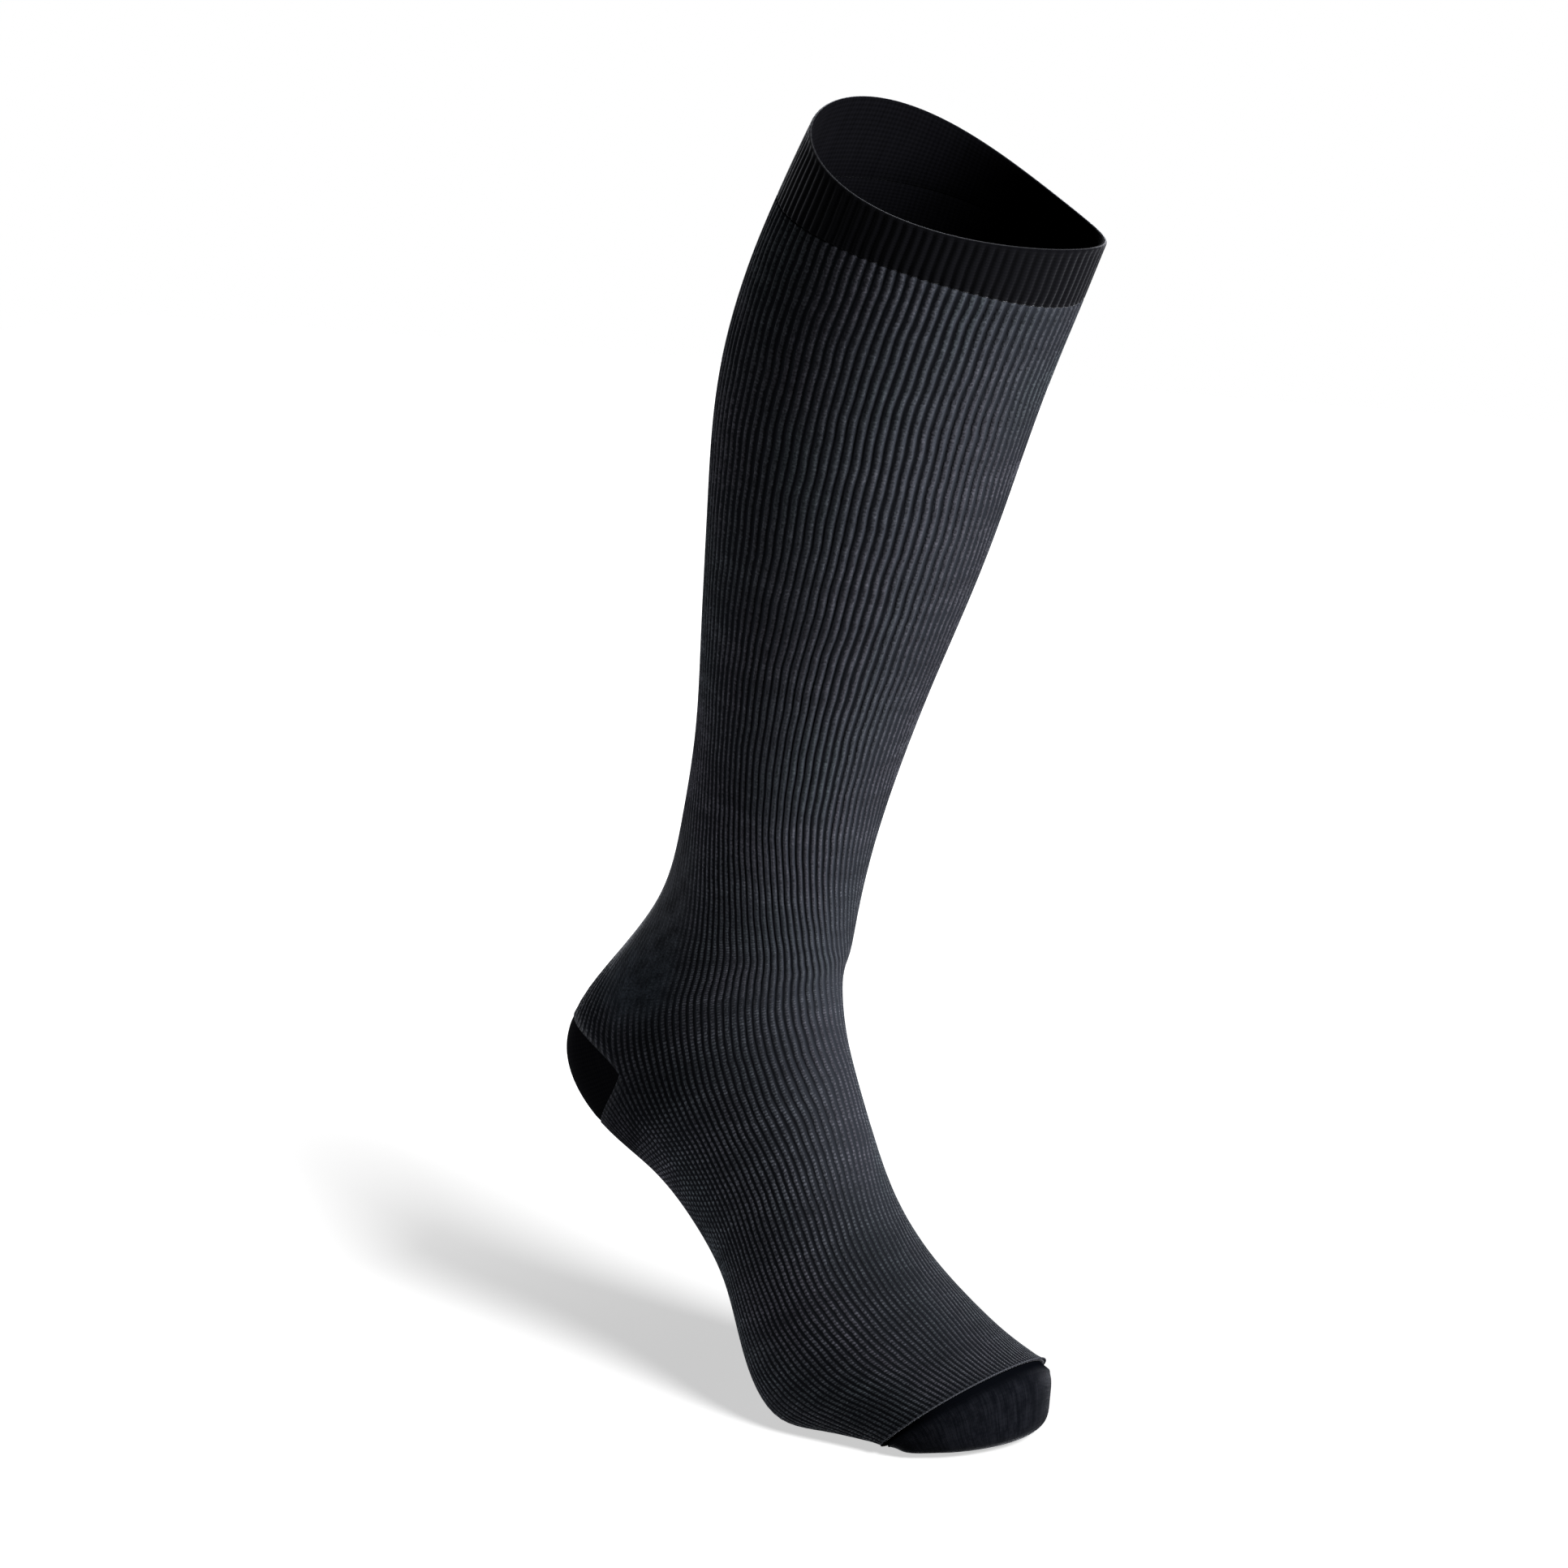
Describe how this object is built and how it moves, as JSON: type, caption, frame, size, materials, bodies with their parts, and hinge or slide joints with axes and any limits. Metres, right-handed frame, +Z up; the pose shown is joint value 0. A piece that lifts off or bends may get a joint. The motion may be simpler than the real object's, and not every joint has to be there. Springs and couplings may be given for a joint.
{
  "type": "compression stocking",
  "caption": "Knee-high ribbed compression stocking in its worn form, heel raised, with an open top band, a heel pocket and a closed toe cap.",
  "frame": {"origin": "centre of the top opening, where the wearer's leg holds the stocking", "axes": "+Z up, +X towards the toes, +Y to the side; the form is the same on both sides of the XZ plane, and its ribs are turned a little round the leg"},
  "size_m": [0.233, 0.12, 0.499],
  "materials": {
    "band_knit": "matte elastic knit",
    "ribbed_knit": "matte ribbed knit",
    "heel_knit": "matte plain knit",
    "toe_knit": "matte fine knit"
  },
  "bodies": {
    "root": {"top_band": "band_knit", "leg_and_foot": "ribbed_knit", "heel_pocket": "heel_knit", "toe_cap": "toe_knit"}
  },
  "joints": []
}
